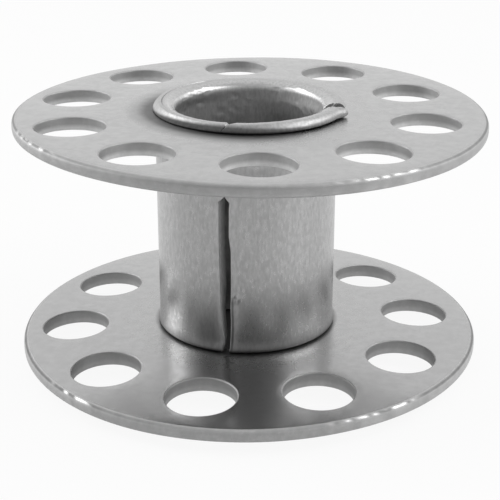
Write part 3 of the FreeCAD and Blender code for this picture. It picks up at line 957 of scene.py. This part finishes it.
# %% [markdown]
# ## Dents of the core
#
# The flaring punch leaves the lip uneven, with a crease where its crest turns into the flare and a torn
# surface inside. The dished flanges have pushed the shoulders up, and beside the seam there is a small pit.
# Bump in a material would not change the outline, so all of these are moved points of the mesh.

# %% Uneven lip
LIP_DIP, LIP_SHRINK, LIP_RIPPLE = 0.03, 0.03, 0.014
FRONT_SHRINK, FRONT_DIP, FRONT_DIP_POWER = 0.15, 0.04, 4
FRONT_TURN = math.radians(235)
CREST_FROM, CREST_TO = 0.05, 0.4
LIP_WAVES, LIPS_APART, SHRINK_FINENESS, RIPPLE_FINENESS = 1.6, 4.0, 1.4, 3.1
CREASE_DEPTH, CREASE_FROM, CREASE_TO = 0.04, math.radians(112), math.radians(215)
CREASE_START, CREASE_END = 0.3, 0.5


def lip_weight(z):
    """1 on the crest of a lip and 0 where it leaves its flange."""
    return smooth_step(CREST_FROM, CREST_TO, max(z, HEIGHT - z) - UPPER_FACE)


def uneven_lip(r, z, angle):
    """How the flaring punch left the lip: a shift of r and of z."""
    weight = lip_weight(z)
    if weight == 0:
        return 0.0, 0.0
    up = 1 if z > MIDDLE else -1
    round_the_lip = Vector((math.cos(angle) * LIP_WAVES, math.sin(angle) * LIP_WAVES, up * LIPS_APART))
    front = facing(angle, FRONT_TURN)
    inwards = LIP_SHRINK * max(noise.noise(round_the_lip * SHRINK_FINENESS), 0.0)
    inwards += FRONT_SHRINK * front * smooth_step(CREST_INSIDE, LIP_RADIUS, r)
    place = Vector((math.cos(angle) * r, math.sin(angle) * r, z))
    ripple = LIP_RIPPLE * noise.noise(place * RIPPLE_FINENESS)
    dip = LIP_DIP * max(noise.noise(round_the_lip), 0.0) + max(ripple, 0.0)
    dip += FRONT_DIP * front ** FRONT_DIP_POWER
    return weight * (min(ripple, 0.0) - inwards), -up * weight * dip


def crease(angle):
    """Depth of the crease where the crest of the lip turns into the flare."""
    turned = angle % (2 * math.pi)
    starts = smooth_step(CREASE_FROM, CREASE_FROM + CREASE_START, turned)
    return CREASE_DEPTH * starts * (1 - smooth_step(CREASE_TO - CREASE_END, CREASE_TO, turned))


front_shift, _ = uneven_lip(LIP_RADIUS, UPPER_FACE + CREST_TO, FRONT_TURN)
print("lip at the front is set back", round(-front_shift, 3), "mm")

# %% Torn bore, lifted shoulders and the pit
TORN_BORE, TORN_DEPTH, TORN_TURN = 0.05, 2.6, math.radians(165)
TORN_STARTS, TORN_FADES = (0.08, 0.3), (0.6 * TORN_DEPTH, TORN_DEPTH)
TORN_PATCHES, TORN_SIDE = (0.0, 0.35), 0.3
TORN_SQUASH, PATCH_FINENESS, TORN_FINENESS = 1.2, 1.1, 5.0
FOOT_SETTLES, HEAD_SETTLES, FOOT_CLEAR = 2.6, 0.7, 0.1
PIT_HEIGHT, PIT_FROM_SEAM, PIT_RADIUS, PIT_DEPTH = 3.80, 0.21, 0.11, 0.05
PIT_RIM, PIT_RIM_AT, PIT_RIM_STEEP, PIT_STEEP = 0.6, 1.2, 4, 3


def torn_mouth(r, z, angle):
    """How far the torn surface inside the mouth of the bore stands off."""
    depth = min(z, HEIGHT - z)
    share = smooth_step(*TORN_STARTS, depth) * (1 - smooth_step(*TORN_FADES, depth))
    place = Vector((math.cos(angle) * r, math.sin(angle) * r, z * TORN_SQUASH))
    patches = noise.noise(place * PATCH_FINENESS) + TORN_SIDE * facing(angle, TORN_TURN)
    return TORN_BORE * share * smooth_step(*TORN_PATCHES, patches) * noise.noise(place * TORN_FINENESS)


def flange_lift(z):
    """How far the dished flanges have lifted the shoulders and the underside of the upper lip."""
    foot = smooth_step(0.0, lower_low.z, z) * (1 - smooth_step(lower_high.z + FOOT_CLEAR, FOOT_SETTLES, z))
    head = smooth_step(SHOULDER - HEAD_SETTLES, SHOULDER, z) * (1 - smooth_step(UPPER_FACE, HEIGHT, z))
    return LOWER_BEND["eye"] * foot + (UPPER_BEND["eye"] + UPPER_BEND["lip_lift"]) * head


def pit(from_seam, z):
    """A small pit with a raised rim, beside the seam."""
    away = math.hypot(from_seam - PIT_FROM_SEAM, z - PIT_HEIGHT) / PIT_RADIUS
    raised = PIT_RIM * math.exp(-PIT_RIM_STEEP * (away - PIT_RIM_AT) ** 2)
    return PIT_DEPTH * (raised - math.exp(-PIT_STEEP * away ** 2))


print("shoulders are lifted", [round(flange_lift(z), 3) for z in (lower_high.z, SHOULDER)], "mm")

# %% Tongue and floor of the tear
TONGUE_BEND, TONGUE_LENGTH, TONGUE_FROM = 0.22, 0.9, BORE_RADIUS + 0.3
TONGUE_CRUMPLE, CRUMPLE_LENGTH, CRUMPLE_FINENESS = 0.17, 0.45, 7.0
FLOOR_RAGGED, FLOOR_FINENESS, FLOOR_ACROSS, FLOOR_SEED = 0.03, 6, 5, 2.2


def tongue(spot):
    """How far the bent tongue before the tear stands out and is crumpled down."""
    tip = 1 - smooth_step(0.0, TONGUE_LENGTH, spot.from_tear)
    crumpled = 1 - smooth_step(0.0, CRUMPLE_LENGTH, spot.from_tear)
    place = Vector((spot.r * CRUMPLE_FINENESS, spot.from_tear * CRUMPLE_FINENESS, spot.z * CRUMPLE_FINENESS))
    outwards = TONGUE_BEND * tip * smooth_step(TONGUE_FROM, LIP_RADIUS, spot.r)
    return outwards, TONGUE_CRUMPLE * crumpled * lip_weight(spot.z) * min(noise.noise(place), 0.0)


def tear_floor(spot):
    """Radius and height of the ragged floor that the lip has torn away from."""
    across = (spot.i - LIP_FIRST) / (LIP_LAST - LIP_FIRST)
    r = blend(profile[LIP_FIRST][0], profile[LIP_LAST][0], across)
    ragged = noise.noise(Vector((r * FLOOR_FINENESS, spot.share * FLOOR_ACROSS, FLOOR_SEED)))
    return r, UPPER_FACE + FLOOR_RAGGED * (ragged * math.sin(math.pi * across))


# %% Bend and dent a point
def bent_point(spot):
    """The place of a spot in millimetres, with all the bends and dents of the core."""
    shift_r, shift_z = uneven_lip(spot.r, spot.z, spot.angle)
    r = spot.r - spot.normal.x * spot.inset + shift_r
    z = spot.z - spot.normal.y * spot.inset + shift_z
    if spot.inside:
        r += torn_mouth(spot.r, spot.z, spot.angle)
    if spot.on_barrel and spot.span == "front":
        r += pit(spot.from_seam, spot.z)
    if spot.i == CREASE:
        z -= crease(spot.angle)
    if spot.span == "front" and spot.in_lip:
        outwards, down = tongue(spot)
        r, z = r + outwards, z + down
    if spot.torn_floor:
        r, z = tear_floor(spot)
    z += flange_lift(spot.z)
    off_centre = OFF_CENTRE.x * (1 - smooth_step(SHOULDER, UPPER_FACE, spot.z))
    return r * math.cos(spot.angle) + off_centre, r * math.sin(spot.angle), z


print("first point lies at", [round(v, 3) for v in bent_point(core_spot(0, columns[0]))], "mm")

# %% [markdown]
# ## Paint of the core
#
# The rest is painted on the points for the material: rough light strips along the seam, a dark cloud beside
# it, painted shade in the corners at the foot, under the upper flange and under the lip, and a bore that is
# dull at its mouth and painted dark below, as its shade.

# %% Marks on the barrel
STRIP_LIGHT = {"left": (0.25, 0.8), "right": (0.3, 0.8)}
STRIP_EDGE = {"left": (0.10, 0.20), "right": (0.28, 0.38)}
STRIP_EVEN, STRIP_UNEVEN, STRIP_SEED = 0.75, 0.5, 4.4
STRIP_FINE_ACROSS, STRIP_FINE_ALONG = 6, 3.2
# There is no groove in the mesh: its shade is painted as a dark line beside the right edge.
GROOVE_FROM, GROOVE_TO, GROOVE_DARK = (0.03, 0.07), (0.12, 0.17), 0.7
# A darker patch of colour on the barrel, low down at the left of the seam.
DARK_PATCH, DARK_PATCH_WIDTH, DARK_PATCH_TOP = 0.5, 1.3, 3.6
DARK_PATCH_FROM, DARK_PATCH_TO = (0.15, 0.5), (0.7 * DARK_PATCH_WIDTH, 1.2 * DARK_PATCH_WIDTH)
DARK_PATCH_FADES = (0.6 * DARK_PATCH_TOP, DARK_PATCH_TOP)


def beside_seam(from_seam, z, side):
    """The rough strip along an edge of the seam: how light it is, and the painted shade of a groove beside
    it.
    """
    low_down = 1 - smooth_step(STRIP_LOW, STRIP_HIGH, z)
    rough = noise.noise(Vector((from_seam * STRIP_FINE_ACROSS, z * STRIP_FINE_ALONG, STRIP_SEED)))
    groove = 0.0
    if side == "right":
        groove = low_down * smooth_step(*GROOVE_FROM, from_seam) * (1 - smooth_step(*GROOVE_TO, from_seam))
    near = 1 - smooth_step(*STRIP_EDGE[side], from_seam)
    strip = blend(*STRIP_LIGHT[side], low_down) * near * (1 - groove)
    return (STRIP_EVEN + STRIP_UNEVEN * rough) * strip, GROOVE_DARK * groove


def dark_patch(from_seam, z):
    """A dark cloud on the barrel, low down at the left of the seam."""
    across = smooth_step(*DARK_PATCH_FROM, from_seam) * (1 - smooth_step(*DARK_PATCH_TO, from_seam))
    return DARK_PATCH * across * (1 - smooth_step(*DARK_PATCH_FADES, z))


print("the stain reaches", DARK_PATCH_WIDTH, "mm from the seam and", DARK_PATCH_TOP, "mm up")

# %% Painted shade
# All of these are painted shade: under the lip, at the ends of the barrel, under the upper flange and down
# the bore.
LIP_SHADE_REACH, FRONT_SHADE_REACH, LIP_SHADE_FADE, LIP_DARK = 0.17, 0.30, 0.16, 0.58
LIP_SHADE_TURN = math.radians(248)
FOOT_SHADE_REACH, FOOT_DARK, FOOT_POWER = 0.6, 0.75, 1.5
HEAD_SHADE = 0.16
HEAD_FROM, HEAD_TO = (0.72 * HEIGHT, 0.78 * HEIGHT), (0.825 * HEIGHT, 0.84 * HEIGHT)
BORE_SIDES, SIDES_FROM = 0.45, (0.2, 0.8)
BORE_FROM, BORE_EVEN, BORE_PATCHY = (0.8, 3.2), 0.78, 0.5
BORE_CLEARS, CLEARS_FROM = 0.4, (3.0, 4.5)
BORE_FOOT = (0.1 * HEIGHT, 0.3 * HEIGHT)
BORE_FINENESS, BORE_FINE_ALONG = 0.9, 1.1


def under_lip(end, angle):
    """Where the lip is painted in shade: 1 on the lower part of its outside and 0 on its upper part. It
    reaches highest at the front.
    """
    top = UPPER_FACE + LIP_SHADE_REACH + FRONT_SHADE_REACH * facing(angle, LIP_SHADE_TURN) ** 2
    return 1 - smooth_step(top - LIP_SHADE_FADE, top, end)


def bore_shade(r, z, angle):
    """Painted shade in the bore: uneven in patches, darker at the sides, and black at the foot."""
    depth = HEIGHT - z
    scaled_r = r * BORE_FINENESS
    place = Vector((math.cos(angle) * scaled_r, math.sin(angle) * scaled_r, z * BORE_FINE_ALONG))
    dark = smooth_step(*BORE_FROM, depth) * (BORE_EVEN + BORE_PATCHY * noise.noise(place))
    dark += BORE_SIDES * abs(math.cos(angle)) * smooth_step(*SIDES_FROM, depth)
    dark -= BORE_CLEARS * smooth_step(*CLEARS_FROM, depth)
    return blend(1.0, min(max(dark, 0.0), 1.0), smooth_step(*BORE_FOOT, z))


def core_shade(spot):
    """Painted shade: down the bore, at both ends of the barrel and just under the upper flange, and under the
    lip.
    """
    if spot.inside:
        return bore_shade(spot.r, spot.z, spot.angle)
    end = max(spot.z, HEIGHT - spot.z)
    if end > SHOULDER:
        return LIP_DARK * under_lip(end, spot.angle)
    below_flange = HEAD_SHADE * smooth_step(*HEAD_FROM, spot.z) * (1 - smooth_step(*HEAD_TO, spot.z))
    return max(below_flange, FOOT_DARK * smooth_step(SHOULDER - FOOT_SHADE_REACH, SHOULDER, end) ** FOOT_POWER)


print("residue at half depth of the bore's back", round(bore_shade(BORE_RADIUS, MIDDLE, math.pi / 2), 2))

# %% Paint a point
LIP_DEEP_SHADE_TURN = math.radians(225)
NOSE_SCUFF, FLOOR_DARK = 0.55, 0.9
WALL_TURN = 0.3
TURNED_TO, BORE_DULL = (0.1, 0.4), (0.75, 1.0)


def core_marks(spot):
    """The painted values of one spot."""
    on_wall = spot.edge is not None and spot.turn < WALL_TURN
    seam_wall = spot.edge == "seam" and on_wall
    tear_wall = spot.edge == "tear" and spot.in_lip and on_wall
    tear_rim = spot.edge == "tear" and spot.in_lip and not on_wall
    light, groove = 0.0, 0.0
    if spot.on_barrel:
        light, groove = beside_seam(spot.from_seam, spot.z, "right" if spot.span == "front" else "left")
    # The dark value is painted shade: in corners, under the lip, down the bore, in the groove and on the torn
    # floor of the tear; the dark patch beside the seam is added to it.
    dark = max(core_shade(spot), groove, FLOOR_DARK * spot.torn_floor)
    if spot.on_barrel and spot.span == "rear":
        dark = max(dark, dark_patch(spot.from_seam, spot.z))
    flare = spot.in_lip * smooth_step(*TURNED_TO, -spot.normal.x) * smooth_step(*TURNED_TO, spot.normal.y)
    nose = spot.in_lip * smooth_step(*TURNED_TO, spot.normal.x)
    outside_lip = spot.in_lip and not spot.inside and spot.span != "tear"
    return {
        "worn": 1.0 if seam_wall or tear_rim else light,
        "polished": flare,
        "scuffed": NOSE_SCUFF * nose,
        "sheared": float(seam_wall or tear_wall or spot.torn_floor),
        "dull": max(smooth_step(*BORE_DULL, -spot.normal.x), float(seam_wall)),
        "grime": dark,
        # painted shade on the lower outside of the lip, deepest at the front left
        "tarnish": outside_lip * facing(spot.angle, LIP_DEEP_SHADE_TURN) * under_lip(spot.z, spot.angle),
    }


print("marks on the core:", ", ".join(core_marks(core_spot(0, columns[0]))))

# %% [markdown]
# ## Sweeping the core
#
# Every column repeats the profile at its own angle. The first and last columns of a span round the edge of
# the metal there. Between the two sides of the tear the profile is cut down to the flange.

# %% Sweep the core from edge to edge
def make_core():
    """The whole core as one closed mesh."""
    count = len(profile)
    spots = [core_spot(i, column) for column in columns for i in range(count)]
    marks = [core_marks(spot) for spot in spots]
    painted = {mark: [m[mark] for m in marks] for mark in marks[0]}
    faces = []
    for c in range(len(columns) - 1):
        for i in range(count):
            j = (i + 1) % count
            faces.append((c * count + i, c * count + j, (c + 1) * count + j, (c + 1) * count + i))
    cap = tessellate_polygon([[Vector((r, z, 0.0)) for r, z in profile]])
    last_column = (len(columns) - 1) * count
    faces += [tuple(t) for t in cap]
    faces += [tuple(last_column + i for i in reversed(t)) for t in cap]
    points = [bent_point(spot) for spot in spots]
    return make_piece("rolled_core", points, faces, painted, "core_tube", tube_steel)


make_core()
